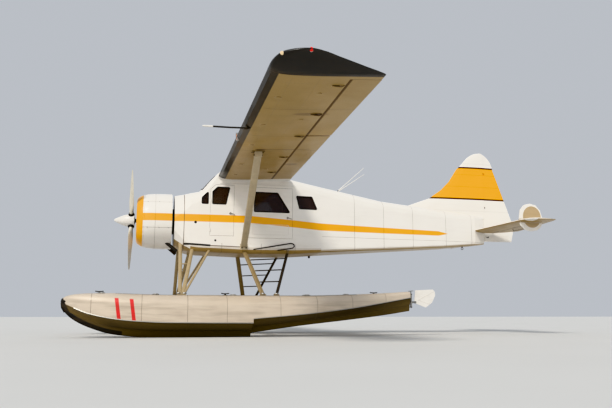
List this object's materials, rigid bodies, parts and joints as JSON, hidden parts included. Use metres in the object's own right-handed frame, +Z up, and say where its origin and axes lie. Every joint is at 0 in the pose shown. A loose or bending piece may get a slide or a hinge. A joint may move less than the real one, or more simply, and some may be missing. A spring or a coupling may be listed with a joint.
{
  "type": "single-engine utility floatplane",
  "caption": "High-wing utility aircraft on twin floats, with a radial engine, turning propeller, opening doors, hinged control surfaces and lifting water rudders.",
  "frame": {"origin": "middle of the base of the whole craft, on the ground between the floats", "axes": "+X towards the nose, +Y to port, +Z up; the keels rest on Z = 0"},
  "size_m": [10.33, 14.5982, 4.375],
  "materials": {
    "white": "white gloss paint",
    "cream": "satin cream paint",
    "yellow": "golden yellow gloss paint",
    "black": "black satin paint",
    "float": "painted and weathered",
    "strut": "satin paint",
    "engine": "dark cast and painted metal",
    "fitting": "brushed",
    "blade": "pale satin paint",
    "glass": "tinted clear",
    "trim": "matte",
    "seat": "worn"
  },
  "bodies": {
    "airframe": {"cabin_side_left": "white", "cabin_side_right": "white", "quarter_window_left": "glass", "quarter_window_right": "glass", "rear_window_left": "glass", "rear_window_right": "glass", "cabin_roof": "white", "cabin_floor": "white", "windshield_frame": "white", "windshield_glass": "glass", "rear_bulkhead": "trim", "nose_section": "white", "instrument_panel": "trim", "seat_frame_left": "fitting", "seat_frame_right": "fitting", "seat_pad_left": "seat", "seat_pad_right": "seat", "engine": "engine", "cowl_ring": "yellow", "cowling": "white", "fin": "yellow", "tailplane_left": "cream", "tailplane_right": "cream", "tail_cone": "white", "wing_left": "cream", "wing_right": "cream", "wing_tip_left": "black", "wing_tip_right": "black", "wing_strut_left": "strut", "wing_strut_right": "strut", "float_left": "float", "float_right": "float", "front_float_struts_left": "strut", "front_float_struts_right": "strut", "rear_float_struts_left": "strut", "rear_float_struts_right": "strut", "front_spreader_bar": "strut", "rear_spreader_bar": "strut"},
    "propeller_unit": {"propeller": "blade", "spinner": "white"},
    "crew_door_unit_left": {"crew_door_left": "white", "crew_door_window_left": "glass"},
    "crew_door_unit_right": {"crew_door_right": "white", "crew_door_window_right": "glass"},
    "cabin_door_unit_left": {"cabin_door_left": "white", "cabin_door_window_left": "glass"},
    "cabin_door_unit_right": {"cabin_door_right": "white", "cabin_door_window_right": "glass"},
    "flap_body_left": {"flap_left": "cream"},
    "flap_body_right": {"flap_right": "cream"},
    "aileron_body_left": {"aileron_left": "cream"},
    "aileron_body_right": {"aileron_right": "cream"},
    "elevator_body": {"elevator_left": "cream", "elevator_right": "cream", "elevator_tube": "fitting"},
    "rudder_body": {"rudder": "white"},
    "water_rudder_stock_left": {"water_rudder_post_left": "fitting"},
    "water_rudder_stock_right": {"water_rudder_post_right": "fitting"},
    "water_rudder_plate_left": {"water_rudder_blade_left": "white"},
    "water_rudder_plate_right": {"water_rudder_blade_right": "white"}
  },
  "joints": [
    {"name": "propeller_spin", "type": "hinge", "parent": "airframe", "child": "propeller_unit", "pos_m": [3.985, 0, 2.44], "axis": [1, 0, 0], "continuous": true},
    {"name": "crew_door_left_swing", "type": "hinge", "parent": "airframe", "child": "crew_door_unit_left", "pos_m": [2.34, 0.62, 2.44], "axis": [0, 0, -1], "range_deg": [0, 80]},
    {"name": "crew_door_right_swing", "type": "hinge", "parent": "airframe", "child": "crew_door_unit_right", "pos_m": [2.34, -0.62, 2.44], "axis": [0, 0, 1], "range_deg": [0, 80]},
    {"name": "cabin_door_left_swing", "type": "hinge", "parent": "airframe", "child": "cabin_door_unit_left", "pos_m": [1.51, 0.62, 2.44], "axis": [0, 0, -1], "range_deg": [0, 80]},
    {"name": "cabin_door_right_swing", "type": "hinge", "parent": "airframe", "child": "cabin_door_unit_right", "pos_m": [1.51, -0.62, 2.44], "axis": [0, 0, 1], "range_deg": [0, 80]},
    {"name": "flap_left_droop", "type": "hinge", "parent": "airframe", "child": "flap_body_left", "pos_m": [1, 2.2977, 3.47923], "axis": [0, -0.9995, -0.0314], "range_deg": [0, 58]},
    {"name": "flap_right_droop", "type": "hinge", "parent": "airframe", "child": "flap_body_right", "pos_m": [1, -2.2977, 3.47923], "axis": [0, -0.9995, 0.0314], "range_deg": [0, 58]},
    {"name": "aileron_left_turn", "type": "hinge", "parent": "airframe", "child": "aileron_body_left", "pos_m": [1, 5.3462, 3.57503], "axis": [0, -0.9995, -0.0314], "range_deg": [-27, 15]},
    {"name": "aileron_right_turn", "type": "hinge", "parent": "airframe", "child": "aileron_body_right", "pos_m": [1, -5.3462, 3.57503], "axis": [0, -0.9995, 0.0314], "range_deg": [-27, 15]},
    {"name": "elevator_turn", "type": "hinge", "parent": "airframe", "child": "elevator_body", "pos_m": [-4.545, 0, 2.43], "axis": [0, -1, 0], "range_deg": [-23, 13]},
    {"name": "rudder_turn", "type": "hinge", "parent": "airframe", "child": "rudder_body", "pos_m": [-4.365, 0, 3.09], "axis": [0, 0, 1], "range_deg": [-16, 16]},
    {"name": "water_rudder_left_steer", "type": "hinge", "parent": "airframe", "child": "water_rudder_stock_left", "pos_m": [-1.845, 1.435, 0.69], "axis": [0, 0, 1], "range_deg": [-30, 30]},
    {"name": "water_rudder_right_steer", "type": "hinge", "parent": "airframe", "child": "water_rudder_stock_right", "pos_m": [-1.845, -1.435, 0.69], "axis": [0, 0, 1], "range_deg": [-30, 30]},
    {"name": "water_rudder_left_lower", "type": "hinge", "parent": "water_rudder_stock_left", "child": "water_rudder_plate_left", "pos_m": [-1.935, 1.435, 0.69], "axis": [0, -1, 0], "range_deg": [0, 90]},
    {"name": "water_rudder_right_lower", "type": "hinge", "parent": "water_rudder_stock_right", "child": "water_rudder_plate_right", "pos_m": [-1.935, -1.435, 0.69], "axis": [0, -1, 0], "range_deg": [0, 90]}
  ]
}
